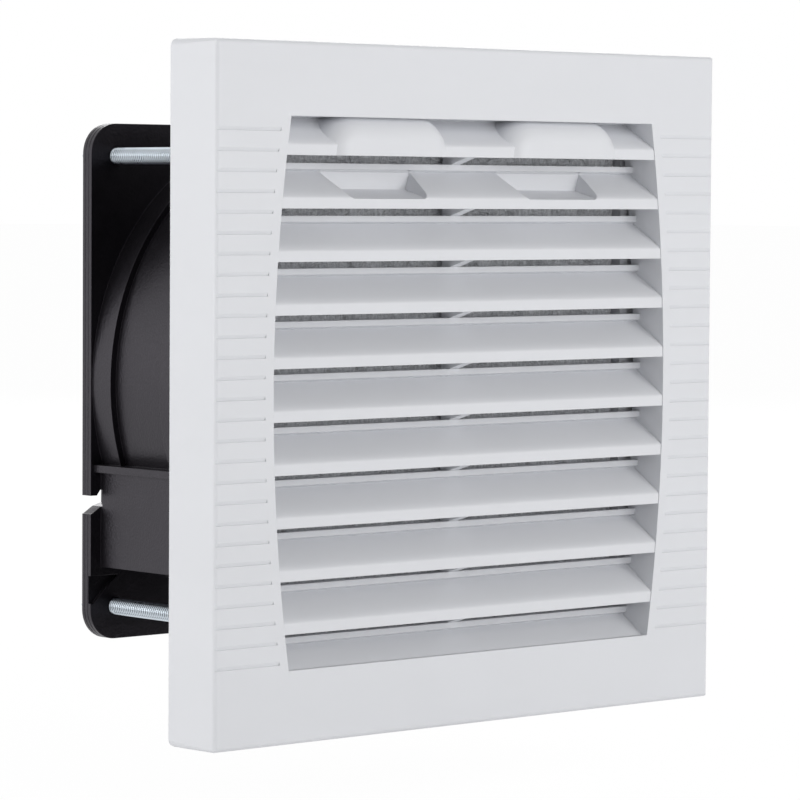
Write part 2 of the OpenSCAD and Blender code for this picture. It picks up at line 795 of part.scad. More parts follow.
module terminal_box() {
    translate([-fan_w / 2 + ledge_inset, fan_y, -ledge_z - ledge_t / 2])
        cube([fan_w / 2 - ledge_inset, fan_d, ledge_t]);
    difference() {
        translate([-box_x, fan_y, -box_floor_z]) cube([box_x, fan_d, box_floor_z - ledge_z]);
        translate([-box_in_x, front_flange_y, -box_in_z])
            cube([box_in_x, fan_d - 2 * fan_flange_t, box_in_z - ledge_z - ledge_t / 2]);
    }
}

module struts() {
    for (i = [0:strut_count - 1]) rotate([0, 45 + i * 360 / strut_count, 0])
        translate([-strut_w / 2, base_rear_y - strut_h, base_r - 2]) cube([strut_w, strut_h, bore_r - base_r + 3]);
}

module fan_housing() {
    color(fan_black) {
        difference() {
            union() {
                along_y(fan_y, front_flange_y) rounded_square(fan_w, fan_corner_r);
                along_y(rear_flange_y, fan_rear_y) rounded_square(fan_w, fan_corner_r);
                rod_y(barrel_r, fan_y, fan_rear_y);
                rod_y(collar_r, front_flange_y - cut, front_flange_y + collar_w);
                rod_y(collar_r, rear_flange_y - collar_w, rear_flange_y + cut);
                terminal_box();
            }
            rod_y(bore_r, fan_y - cut, fan_rear_y + cut);
            four_corners(hole_x) rod_y(hole_r, fan_y - cut, fan_rear_y + cut);
            along_y(rear_flange_y - 0.5, fan_rear_y + cut) lead_notch();
            along_y(rear_flange_y - cut, rear_flange_y + 1) corner_step();
            for (y = [fan_y, rear_flange_y], at = [0.27, 0.62]) edge_groove(y + at * fan_flange_t);
            translate([-box_in_x, rear_flange_y - cut, -box_in_z])
                cube([box_in_x - insulator_x, fan_flange_t + 2 * cut, insulator_h]);
        }
        difference() {
            struts();
            rod_y(base_r - 1, fan_y, fan_rear_y);
        }
        difference() {
            rod_y(base_r, base_front_y, base_rear_y);
            rod_y(tube_r + seat_play, base_front_y - cut, base_rear_y + cut);
        }
    }
}

module terminal_insulator() {
    depth = rear_flange_y - 2 - insulator_l;
    color("#3a2f2a") translate([-box_in_x + 0.1, depth, -box_in_z + 0.1])
        cube([box_in_x - insulator_x - 0.3, insulator_l, insulator_h - 0.3]);
}

module terminal_tabs() {
    x = -(box_in_x + insulator_x) / 2;
    color("#c8c4b4") for (side = [-1, 1])
        translate([x - tab_w / 2, rear_flange_y - 2, -box_in_z + insulator_h / 2 + side * 1.8 - tab_t / 2])
            cube([tab_w, tab_l - 2, tab_t]);
}

// Impeller

function mix(a, b, t) = a + (b - a) * t;

// Point of a blade section: t runs along the chord, side is +1 on the pressure face and -1 on the suction face
function blade_point(r, t, side) =
    let (
        f = (r - hub_r) / (tip_r - hub_r),
        chord = mix(root_chord, tip_chord, f),
        angle = mix(root_angle, tip_angle, f),
        along = (t - 0.5) * chord,
        bow = blade_camber * (1 - pow(2 * t - 1, 2)) + side * blade_t / 2 * (0.25 + 0.75 * sin(180 * t)),
        y = (cup_front_y + cup_rear_y) / 2 + along * sin(angle) - bow * cos(angle),
        turn = (along * cos(angle) + bow * sin(angle)) / r * 180 / PI + tip_sweep * f
    )
    [r * sin(turn), y, r * cos(turn)];

module blade(sections = 7, steps = 8) {
    rim = concat([for (k = [0:steps]) [k / steps, 1]], [for (k = [steps:-1:0]) [k / steps, -1]]);
    n = len(rim);
    root = hub_r - hub_wall / 2;
    points = [
        for (j = [0:sections - 1], p = rim) blade_point(mix(root, tip_r, j / (sections - 1)), p[0], p[1])
    ];
    sides = [
        for (j = [0:sections - 2], i = [0:n - 1])
            let (a = j * n + i, b = j * n + (i + 1) % n)
            each [[a, a + n, b], [b, a + n, b + n]]
    ];
    ends = [
        for (k = [0:steps - 1])
            let (a = k, b = k + 1, c = n - 2 - k, d = n - 1 - k, top = (sections - 1) * n)
            each [[a, b, d], [b, c, d], [top + a, top + d, top + b], [top + b, top + d, top + c]]
    ];
    polyhedron(points, concat(sides, ends));
}

module impeller() {
    color("#232226") {
        difference() {
            rod_y(hub_r, hub_front_y, cup_rear_y);
            rod_y(hub_in_r, hub_front_y + hub_lip_t, cup_rear_y + cut);
            rod_y(hub_in_r - 3, hub_front_y - cut, cup_rear_y);
        }
        for (i = [0:blade_count - 1]) rotate([0, i * 360 / blade_count, 0]) blade();
    }
}

// Motor

module rotor_cup() {
    color(steel) difference() {
        union() {
            difference() {
                rod_y(cup_r, cup_front_y, cup_rear_y - 0.5);
                rod_y(cup_in_r, cup_front_y + cup_wall, cup_rear_y + cut);
            }
            rod_y(shaft_r + 3, cup_front_y, boss_rear_y);
        }
        rod_y(shaft_r + seat_play, cup_front_y - cut, boss_rear_y + cut);
    }
}

module rotor_cage() {
    color("#c9ccd0") tube_y(cage_r, cage_in_r, cup_front_y + cup_wall + 3, cup_rear_y - 1);
}

module motor_shaft() {
    color("#d5d8dc") difference() {
        rod_y(shaft_r, cup_front_y, clip_y + clip_t + 0.5);
        tube_y(shaft_r + cut, shaft_r - 0.4, clip_y, clip_y + clip_t);
    }
}

module thrust_washer() {
    color("#d9d2b8") tube_y(shaft_r + 2, shaft_r + 0.1, boss_rear_y + washer_gap, front_bearing_y - washer_gap);
}

module retaining_clip() {
    color("#4a4c52") difference() {
        tube_y(shaft_r + 1.8, shaft_r - 0.35, clip_y + 0.05, clip_y + clip_t - 0.05);
        translate([-1.2, clip_y - cut, 0]) cube([2.4, clip_t + 2 * cut, shaft_r + 2 + cut]);
    }
}

module ball_bearing(y) {
    groove = 0.35;
    color("#c3c7cc") difference() {
        tube_y(bearing_r, shaft_r + shaft_play, y, y + bearing_w);
        for (face = [y - cut, y + bearing_w - groove])
            tube_y(bearing_r - 1, shaft_r + 1.2, face, face + cut + groove);
    }
}

module front_bearing() {
    ball_bearing(front_bearing_y);
}

module rear_bearing() {
    ball_bearing(rear_bearing_y);
}

module preload_washer() {
    color("#8d9096") tube_y(bearing_r - 0.2, shaft_r + 2, rear_bearing_y - 0.5, rear_bearing_y - 0.1);
}

module bearing_tube() {
    color("#b59a54") difference() {
        rod_y(tube_r, tube_front_y, tube_rear_y);
        rod_y(bearing_r + seat_play, tube_front_y - cut, front_bearing_y + bearing_w + 0.1);
        rod_y(bearing_r + seat_play, rear_bearing_y - 0.7, tube_rear_y + cut);
        rod_y(bearing_r - 1, tube_front_y, tube_rear_y);
    }
}

module stator_outline() {
    difference() {
        union() {
            circle(tube_r + 4);
            difference() {
                circle(stator_r);
                circle(stator_r - shoe_t);
                for (turn = [45, 135]) rotate(turn) square([2 * stator_r + 2, 5], center = true);
            }
            for (turn = [0, 90]) rotate(turn) square([2 * stator_r - 2, pole_w], center = true);
        }
        circle(tube_r + seat_play);
    }
}

module stator_core() {
    color("#77797e") along_y(stack_y, stack_y + stack_t) stator_outline();
}

module stator_coils() {

    color("#a4562b") for (turn = [0:90:270]) rotate([0, turn, 0]) difference() {
        translate([-pole_w / 2 - end_turn, stack_y - end_turn, coil_in_r])
            cube([pole_w + 2 * end_turn, stack_t + 2 * end_turn, coil_out_r - coil_in_r]);
        translate([-pole_w / 2 - 0.1, stack_y - 0.9, coil_in_r - cut])
            cube([pole_w + 0.2, stack_t + 1.8, coil_out_r - coil_in_r + 2 * cut]);
    }
}

module stator_insulators() {
    color("#e6e2d4") for (y = [stack_y - 0.8, stack_y + stack_t]) along_y(y, y + 0.8) difference() {
        union() {
            circle(tube_r + 4);
            for (turn = [0, 90]) rotate(turn) square([2 * coil_out_r, pole_w], center = true);
        }
        circle(tube_r + seat_play);
    }
}

module motor_cap() {
    color("#2b2a2d") difference() {
        rod_y(tube_r + 6, base_rear_y, base_rear_y + 0.6);
        rod_y(tube_r - 1, base_rear_y - cut, base_rear_y + 0.2);
    }
}

// Fasteners and guard

module fan_screws() {
    color(steel) four_corners(hole_x) difference() {
        union() {
            rod_y(head_r, seat_front_y - head_h, seat_front_y);
            rod_y(screw_r, seat_front_y, screw_end_y);
        }
        for (turn = [0, 90]) rotate([0, turn, 0])
            translate([-head_r / 2, seat_front_y - head_h - cut, -0.5]) cube([head_r, cut + 1.4, 1]);
    }
}

module fan_nuts() {
    y = fan_rear_y + 2 * wire_r;
    color(steel) four_corners(hole_x) difference() {
        translate([0, y, 0]) rotate([-90, 0, 0]) cylinder(r = nut_af / sqrt(3), h = nut_h, $fn = 6);
        rod_y(screw_r + nut_play, y - cut, y + nut_h + cut);
    }
}

// Ring of wire round the Y axis
module wire_ring(r, y) {
    translate([0, y, 0]) rotate([-90, 0, 0]) rotate_extrude() translate([r, 0]) circle(wire_r, $fn = 24);
}

// Straight wire in the (z, y) plane from [z, y] point a to point b
module wire(a, b) {
    span = b - a;
    translate([0, a[1], a[0]]) rotate([-atan2(span[1], span[0]), 0, 0]) rotate([0, 0, 0])
        cylinder(r = wire_r, h = norm(span), $fn = 24);
}

module finger_guard() {
    inner_r = guard_r / guard_rings * 0.8;
    pitch = (guard_r - inner_r) / (guard_rings - 1);
    spoke_y = fan_rear_y + guard_stand;
    eye_y = fan_rear_y + wire_r;
    eye_r = screw_r + 0.4 + wire_r;
    eye_z = hole_x * sqrt(2);
    color(steel) {
        for (i = [0:guard_rings - 1]) wire_ring(inner_r + i * pitch, spoke_y + 1.75 * wire_r);
        for (turn = [45:90:315]) rotate([0, turn, 0]) {
            wire([inner_r - wire_r, spoke_y], [guard_r, spoke_y]);
            wire([guard_r - 0.2, spoke_y], [eye_z - eye_r, eye_y]);
            translate([0, 0, eye_z]) wire_ring(eye_r, eye_y);
        }
    }
}

front_cover();
base_frame();
filter_mat();
panel_seal();
fan_housing();
impeller();
rotor_cup();
rotor_cage();
motor_shaft();
thrust_washer();
retaining_clip();
front_bearing();
rear_bearing();
preload_washer();
bearing_tube();
stator_core();
stator_coils();
stator_insulators();
motor_cap();
terminal_insulator();
terminal_tabs();
fan_screws();
fan_nuts();
finger_guard();
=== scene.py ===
"""Finishes and studio for the cabinet filter fan: plastics, fibre mat, foam seal, threaded screws and wire guard."""

import math
import random

import bmesh
import bpy
from bpy.props import FloatProperty, FloatVectorProperty, IntProperty, PointerProperty
from mathutils import Matrix, Vector, noise


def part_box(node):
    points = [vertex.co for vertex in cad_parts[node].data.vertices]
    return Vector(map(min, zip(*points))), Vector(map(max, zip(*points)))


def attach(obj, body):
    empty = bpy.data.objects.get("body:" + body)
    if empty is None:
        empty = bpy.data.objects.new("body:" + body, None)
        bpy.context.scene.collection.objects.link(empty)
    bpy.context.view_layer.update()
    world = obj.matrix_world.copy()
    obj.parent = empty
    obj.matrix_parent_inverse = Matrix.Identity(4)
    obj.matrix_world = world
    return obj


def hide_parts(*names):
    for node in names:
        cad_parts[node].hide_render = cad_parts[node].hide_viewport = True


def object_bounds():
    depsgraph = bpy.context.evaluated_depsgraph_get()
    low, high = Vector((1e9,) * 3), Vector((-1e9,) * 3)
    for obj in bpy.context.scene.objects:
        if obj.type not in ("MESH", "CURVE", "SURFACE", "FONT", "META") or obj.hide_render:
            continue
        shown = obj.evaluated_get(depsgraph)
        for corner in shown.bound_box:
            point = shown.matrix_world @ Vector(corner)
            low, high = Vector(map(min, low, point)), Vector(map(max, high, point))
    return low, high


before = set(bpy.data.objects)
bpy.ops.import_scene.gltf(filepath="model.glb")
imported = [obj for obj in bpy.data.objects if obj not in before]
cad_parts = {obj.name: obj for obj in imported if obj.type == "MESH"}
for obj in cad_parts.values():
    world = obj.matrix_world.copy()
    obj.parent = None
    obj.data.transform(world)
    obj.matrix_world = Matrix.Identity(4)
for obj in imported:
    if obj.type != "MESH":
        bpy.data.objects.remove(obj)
CAD_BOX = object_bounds()

bl_info = {
    "name": "Cabinet filter fan",
    "version": (1, 0, 0),
    "blender": (4, 5, 0),
    "location": "View3D > Sidebar > Filter fan",
    "description": "Dresses the packed filter fan and sets up its studio",
    "category": "Object",
}

MM = 0.001

# Studio: place and size of each lamp in metres, and the floor's reach, glow and share of white where it is seen
KEY_PLACE, KEY_SIZE = (0.22, -0.85, 0.22), 0.62
SIDE_PLACE, SIDE_SIZE = (-1.3, 0.42, 0.12), 0.8
BACK_PLACE, BACK_SIZE = (0.9, 1.2, 0.7), 0.8
FLOOR_REACH = 12
FLOOR_GLOW = 1.03
FLOOR_WHITE = 0.93

# Fan plastic: grains per metre, their relief, the spread of the black, and how strongly it shines
FAN_GRAIN = 1600
FAN_RELIEF = 0.11 * MM
FAN_MOTTLE = 0.08
FAN_SHINE = 0.5

# Filter mat: cells along a side, bare margin inside the CAD box, rounded rim, and waves per metre of the two lofts
MAT_CELLS = 90
MAT_SKIN = 0.1 * MM
RIM_WIDTH = 2.5 * MM
RIM_SINK = 2.2 * MM
BROAD_LOFT = 260
FINE_LOFT = 700

# Loose fibres: seed, distance from the mat's rim, points in a fibre and their spacing
FIBRE_SEED = 7
FIBRE_MARGIN = 3 * MM
FIBRE_POINTS = 9
FIBRE_STEP = 0.9 * MM

# Screw threads: faces round the shank, rows in a pitch, length of the tapered end, and how far up a flank the painted
# shade reaches
THREAD_SIDES = 20
THREAD_ROWS = 8
THREAD_TAPER = 0.6 * MM
THREAD_SHADE_LINE = 0.7

# Seal: radius of its soft edges
SEAL_ROUND = 0.35 * MM


def tint(label, note, value):
    """A colour property in linear values."""
    return FloatVectorProperty(name=label, description=note, subtype="COLOR", size=3, min=0, max=1, default=value)


def length(label, note, value):
    """A length property in metres."""
    return FloatProperty(name=label, description=note, subtype="DISTANCE", unit="LENGTH", default=value, precision=5)


class PlasticLook(bpy.types.PropertyGroup):
    """Moulded plastics of the cover, frame and fan."""

    cover: tint("Cover colour", "Light grey of the louvred cover", (0.775, 0.785, 0.815))
    base: tint("Frame colour", "Light grey of the base frame", (0.70, 0.705, 0.73))
    fan: tint("Fan colour", "Black of the fan's housing", (0.0042, 0.0038, 0.0046))
    rotor: tint("Impeller colour", "Black of the impeller", (0.026, 0.025, 0.028))
    insulator: tint("Terminal block colour", "Cream of the block that holds the tabs", (0.6, 0.56, 0.46))
    natural: tint("Natural plastic", "Undyed plastic of the stator's insulators and the washer", (0.66, 0.62, 0.52))
    gloss: tint("Fan gloss", "Tint of the fan's sheen", (0.92, 0.855, 1.0))
    cover_roughness: FloatProperty(name="Cover roughness", description="Sheen of the cover", default=0.42, min=0, max=1)
    fan_roughness: FloatProperty(name="Fan roughness", description="Sheen of the fan", default=0.34, min=0, max=1)
    edge: length("Edge radius", "Radius that softens moulded edges", 0.18 * MM)


class FilterLook(bpy.types.PropertyGroup):
    """Fibre mat and seal."""

    # The dark tone is painted shade deep in the mat's hollows; the fibres themselves take the light tone.
    painted_deep_shade: tint("Dark fibre", "Shade deep in the mat", (0.40, 0.405, 0.425))
    light: tint("Light fibre", "Fibres on the mat's surface", (0.79, 0.80, 0.82))
    fibres: IntProperty(name="Fibres", description="Loose fibres on each face of the mat", default=1500, min=0)
    fibre_radius: length("Fibre radius", "Radius of a loose fibre", 0.05 * MM)
    loft: length("Loft", "Depth of the hollows in the mat's surface", 0.7 * MM)
    seal: tint("Seal colour", "Foam of the panel seal", (0.022, 0.022, 0.024))


class MetalLook(bpy.types.PropertyGroup):
    """Screws, guard and motor metals."""

    zinc: tint("Zinc plating", "Bluish plating of screws and guard", (0.60, 0.64, 0.68))
    # Thread crests is a brighter copy of the zinc, painted light on the heads and crests; thread roots is a dark copy,
    # painted shade on the lower flanks of the threads.
    crest: tint("Thread crests", "Rubbed plating on the screws' heads and crests", (0.62, 0.68, 0.74))
    root: tint("Thread roots", "Dull plating between the threads", (0.13, 0.15, 0.17))
    steel: tint("Ground steel", "Shaft and bearings", (0.62, 0.63, 0.65))
    iron: tint("Oiled steel", "Laminations and clips", (0.16, 0.16, 0.17))
    aluminium: tint("Cast aluminium", "Rotor cage", (0.66, 0.67, 0.69))
    brass: tint("Brass", "Bearing tube", (0.62, 0.44, 0.17))
    tinned: tint("Tinned brass", "Terminal tabs", (0.68, 0.63, 0.5))
    copper: tint("Enamelled copper", "Windings", (0.40, 0.12, 0.04))
    thread_pitch: length("Thread pitch", "Pitch of the M4 thread", 0.7 * MM)
    thread_depth: length("Thread depth", "Depth of the M4 thread", 0.36 * MM)


class StudioLook(bpy.types.PropertyGroup):
    """Camera, lamps and floor."""

    camera: FloatVectorProperty(name="Camera place", description="Camera position", subtype="TRANSLATION",
                                unit="LENGTH", size=3, default=(-0.6162, -0.6737, 0.0448), precision=5)
    yaw: FloatProperty(name="Yaw", description="Camera turn to the right", subtype="ANGLE", default=math.radians(42.01))
    pitch: FloatProperty(name="Pitch", description="Camera tilt down", subtype="ANGLE", default=math.radians(3.04))
    roll: FloatProperty(name="Roll", description="Camera roll", subtype="ANGLE", default=math.radians(0.37))
    lens: FloatProperty(name="Lens", description="Focal length in millimetres", default=177.1, min=1)
    key: FloatProperty(name="Key lamp", description="Watts of the lamp at the front", default=3.55, min=0)
    side: FloatProperty(name="Side lamp", description="Watts of the lamp behind on the left", default=10.6, min=0)
    ambient: FloatProperty(name="Ambient", description="Strength of the even light", default=0.40, min=0)
    back: FloatProperty(name="Back lamp", description="Watts of the lamp behind on the right", default=6.0, min=0)
    floor: tint("Floor", "Pale floor", (0.86, 0.86, 0.86))
    drop: length("Floor drop", "Room under the part for the opened cover", 18 * MM)


class FilterFanSettings(bpy.types.PropertyGroup):
    """All settings of the filter fan."""

    plastic: PointerProperty(type=PlasticLook)
    filter: PointerProperty(type=FilterLook)
    metal: PointerProperty(type=MetalLook)
    studio: PointerProperty(type=StudioLook)


class Wire:
    """A shader socket that takes part in Python maths; each operation adds one Math node."""

    def __init__(self, finish, socket):
        self.finish = finish
        self.socket = socket

    def maths(self, operation, first, second):
        return self.finish.node("ShaderNodeMath", {"operation": operation}, {0: first, 1: second})

    def __add__(self, other):
        return self.maths("ADD", self, other)

    __radd__ = __add__

    def __sub__(self, other):
        return self.maths("SUBTRACT", self, other)

    def __rsub__(self, other):
        return self.maths("SUBTRACT", other, self)

    def __mul__(self, other):
        return self.maths("MULTIPLY", self, other)

    __rmul__ = __mul__

    def __truediv__(self, other):
        return self.maths("DIVIDE", self, other)

    def __rtruediv__(self, other):
        return self.maths("DIVIDE", other, self)


class Finish:
    """One node tree, of a material or of the world."""

    def __init__(self, owner):
        owner.use_nodes = True
        self.owner = owner
        self.tree = owner.node_tree
        self.tree.nodes.clear()

    def node(self, kind, settings=None, sockets=None, output=0):
        """Adds a node, sets it up, fills its sockets, and returns one of its outputs."""
        made = self.tree.nodes.new(kind)
        for key, value in (settings or {}).items():
            if key == "stops":
                ramp = made.color_ramp.elements
                while len(ramp) < len(value):
                    ramp.new(0.5)
                for stop, (place, colour) in zip(ramp, value):
                    stop.position = place
                    stop.color = (*colour, 1)
            else:
                setattr(made, key, value)
        for key, value in (sockets or {}).items():
            if isinstance(value, Wire):
                self.tree.links.new(value.socket, made.inputs[key])
            else:
                made.inputs[key].default_value = value
        return Wire(self, made.outputs[output]) if len(made.outputs) else made

    def place(self):
        return self.node("ShaderNodeTexCoord", output="Object")

    def noise(self, where, scale, detail=3, distortion=0):
        return self.node("ShaderNodeTexNoise", None,
                         {"Vector": where, "Scale": scale, "Detail": detail, "Distortion": distortion})

    def stretched(self, where, scale):
        return self.node("ShaderNodeMapping", None, {"Vector": where, "Scale": scale})

    def blend(self, first, second, factor):
        return self.node("ShaderNodeMix", {"data_type": "RGBA"}, {0: factor, 6: first, 7: second}, output=2)

    def bump(self, height, depth, strength=1, normal=None):
        sockets = {"Height": height, "Distance": depth, "Strength": strength}
        if normal is not None:
            sockets["Normal"] = normal
        return self.node("ShaderNodeBump", None, sockets)

    def soft_edges(self, radius):
        return self.node("ShaderNodeBevel", {"samples": 6}, {"Radius": radius})

    def surface(self, **sockets):
        """Ends the tree in one Principled shader."""
        named = {key.replace("_", " "): value for key, value in sockets.items()}
        shader = self.node("ShaderNodeBsdfPrincipled", None, named)
        self.node("ShaderNodeOutputMaterial", None, {"Surface": shader})
        return self.owner


def shade(colour, amount):
    """A colour made darker or lighter."""
    return (*(min(1, channel * amount) for channel in colour), 1)


def new_finish(name):
    return Finish(bpy.data.materials.new(name))


def moulded_plastic(name, colour, roughness, edge, grain=1500, relief=0.012 * MM, mottle=0.02, gloss=(1, 1, 1),
                    shine=0.45):
    """Moulded plastic with a fine spark-eroded grain, faint flow marks and softened edges."""
    finish = new_finish(name)
    where = finish.place()
    flow = finish.noise(finish.stretched(where, (1, 1, 3)), 22, 2, 0.6)
    grain_height = finish.noise(where, grain, 4)
    speck = finish.noise(where, 260, 2)
    normal = finish.bump(grain_height, relief, 0.7, finish.soft_edges(edge))
    return finish.surface(
        Base_Color=finish.blend(shade(colour, 1 - mottle), shade(colour, 1 + mottle), flow),
        Roughness=roughness + (speck - 0.5) * 0.14 + (grain_height - 0.5) * 0.1,
        Specular_IOR_Level=shine,
        Specular_Tint=(*gloss, 1),
        Normal=normal,
    )


def plated_metal(name, colour, roughness, streak=(900, 900, 900), relief=0.004 * MM):
    """Plated or ground metal with fine streaks and a cloudy sheen."""
    finish = new_finish(name)
    where = finish.place()
    cloud = finish.noise(where, 160, 3)
    fine = finish.noise(finish.stretched(where, streak), 1, 3)
    return finish.surface(
        Base_Color=finish.blend(shade(colour, 0.86), shade(colour, 1.1), cloud),
        Metallic=1.0,
        Roughness=roughness + (cloud - 0.5) * 0.16 + (fine - 0.5) * 0.14,
        Normal=finish.bump(fine, relief, 0.6),
    )


def laminations(name, colour):
    """Thin oiled steel sheets stacked along the shaft."""
    finish = new_finish(name)
    where = finish.place()
    sheets = finish.node("ShaderNodeTexWave", {"bands_direction": "Y"}, {"Vector": where, "Scale": 628.0})
    cloud = finish.noise(where, 300, 3)
    return finish.surface(
        Base_Color=finish.blend(shade(colour, 0.6), shade(colour, 1.25), sheets * 0.7 + cloud * 0.3),
        Metallic=0.9,
        Roughness=0.42 + (cloud - 0.5) * 0.2,
        Normal=finish.bump(sheets, 0.05 * MM, 0.7),
    )


def windings(name, colour):
    """Enamelled wire laid in turns."""
    finish = new_finish(name)
    where = finish.place()
    turns = finish.node("ShaderNodeTexWave", {"bands_direction": "DIAGONAL"},
                        {"Vector": where, "Scale": 700.0, "Distortion": 0.6, "Detail Scale": 40.0})
    cloud = finish.noise(where, 200, 2)
    return finish.surface(
        Base_Color=finish.blend(shade(colour, 0.5), shade(colour, 1.2), turns * 0.8 + cloud * 0.2),
        Metallic=0.7,
        Roughness=0.3 + cloud * 0.12,
        Coat_Weight=0.4,
        Normal=finish.bump(turns, 0.12 * MM, 0.8),
    )


def fibre_mat(name, painted_deep_shade, light):
    """Tangled synthetic fibres, with painted shade deep among them."""
    finish = new_finish(name)
    where = finish.place()
    tangle = finish.noise(where, 420, 5, 2.5)
    strands = finish.noise(finish.stretched(where, (1500, 500, 300)), 1, 4, 1.5)
    cross = finish.noise(finish.stretched(where, (300, 500, 1500)), 1, 4, 1.5)
    pile = tangle * 0.5 + strands * 0.25 + cross * 0.25
    # The ramp paints shade into the low parts of the pile that the bump sinks, and keeps the raised fibres light.
    tone = finish.node("ShaderNodeValToRGB", {"stops": [(0.36, painted_deep_shade), (0.62, light)]}, {"Fac": pile})
    return finish.surface(
        Base_Color=tone,
        Roughness=0.85 + (tangle - 0.5) * 0.2,
        Specular_IOR_Level=0.2,
        Sheen_Weight=0.15,
        Normal=finish.bump(pile, 0.5 * MM, 0.9),
    )


def foam(name, colour):
    """Closed-cell foam with small pores."""
    finish = new_finish(name)
    where = finish.place()
    pores = finish.node("ShaderNodeTexVoronoi", None, {"Vector": where, "Scale": 1600.0})
    cloud = finish.noise(where, 120, 3)
    return finish.surface(
        Base_Color=finish.blend(shade(colour, 0.7), shade(colour, 1.8), pores * 0.6 + cloud * 0.4),
        Roughness=0.8 + (cloud - 0.5) * 0.15,
        Specular_IOR_Level=0.3,
        Normal=finish.bump(pores, 0.08 * MM, 0.6),
    )


def dress(node, material):
    """Gives a CAD node its finish."""
    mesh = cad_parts[node].data
    mesh.materials.clear()
    mesh.materials.append(material)


def add_piece(name, mesh, body, slot, material, *nodes):
    """Adds a piece that rides on a body and stands for CAD nodes."""
    if mesh.materials:
        mesh.materials.clear()
    mesh.materials.append(material)
    piece = bpy.data.objects.new(name, mesh)
    bpy.context.scene.collection.objects.link(piece)
    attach(piece, body)
    if nodes:
        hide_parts(*nodes)
    return piece


def finish_mesh(bm, name, smooth=True):
    """Turns an edited mesh into a finished one; with smooth=None each face keeps its own shading."""
    mesh = bpy.data.meshes.new(name)
    bm.normal_update()
    bm.to_mesh(mesh)
    bm.free()
    if smooth is not None:
        for face in mesh.polygons:
            face.use_smooth = smooth
    return mesh


def welded(node):
    """An editable copy of a CAD node's mesh, with the seams along its sharp edges joined."""
    bm = bmesh.new()
    bm.from_mesh(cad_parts[node].data)
    bmesh.ops.remove_doubles(bm, verts=bm.verts, dist=0.001 * MM)
    return bm


def settings():
    return bpy.context.scene.filter_fan


class FILTERFAN_OT_cover(bpy.types.Operator):
    """Finish the louvred cover"""

    bl_idname = "filterfan.cover"
    bl_label = "Louvred cover"

    def execute(self, context):
        look = settings().plastic
        dress("front_cover", moulded_plastic("cover_plastic", look.cover, look.cover_roughness, look.edge))
        return {"FINISHED"}


class FILTERFAN_OT_base(bpy.types.Operator):
    """Finish the base frame"""

    bl_idname = "filterfan.base"
    bl_label = "Base frame"

    def execute(self, context):
        look = settings().plastic
        dress("base_frame", moulded_plastic("frame_plastic", look.base, look.cover_roughness + 0.06, look.edge))
        return {"FINISHED"}


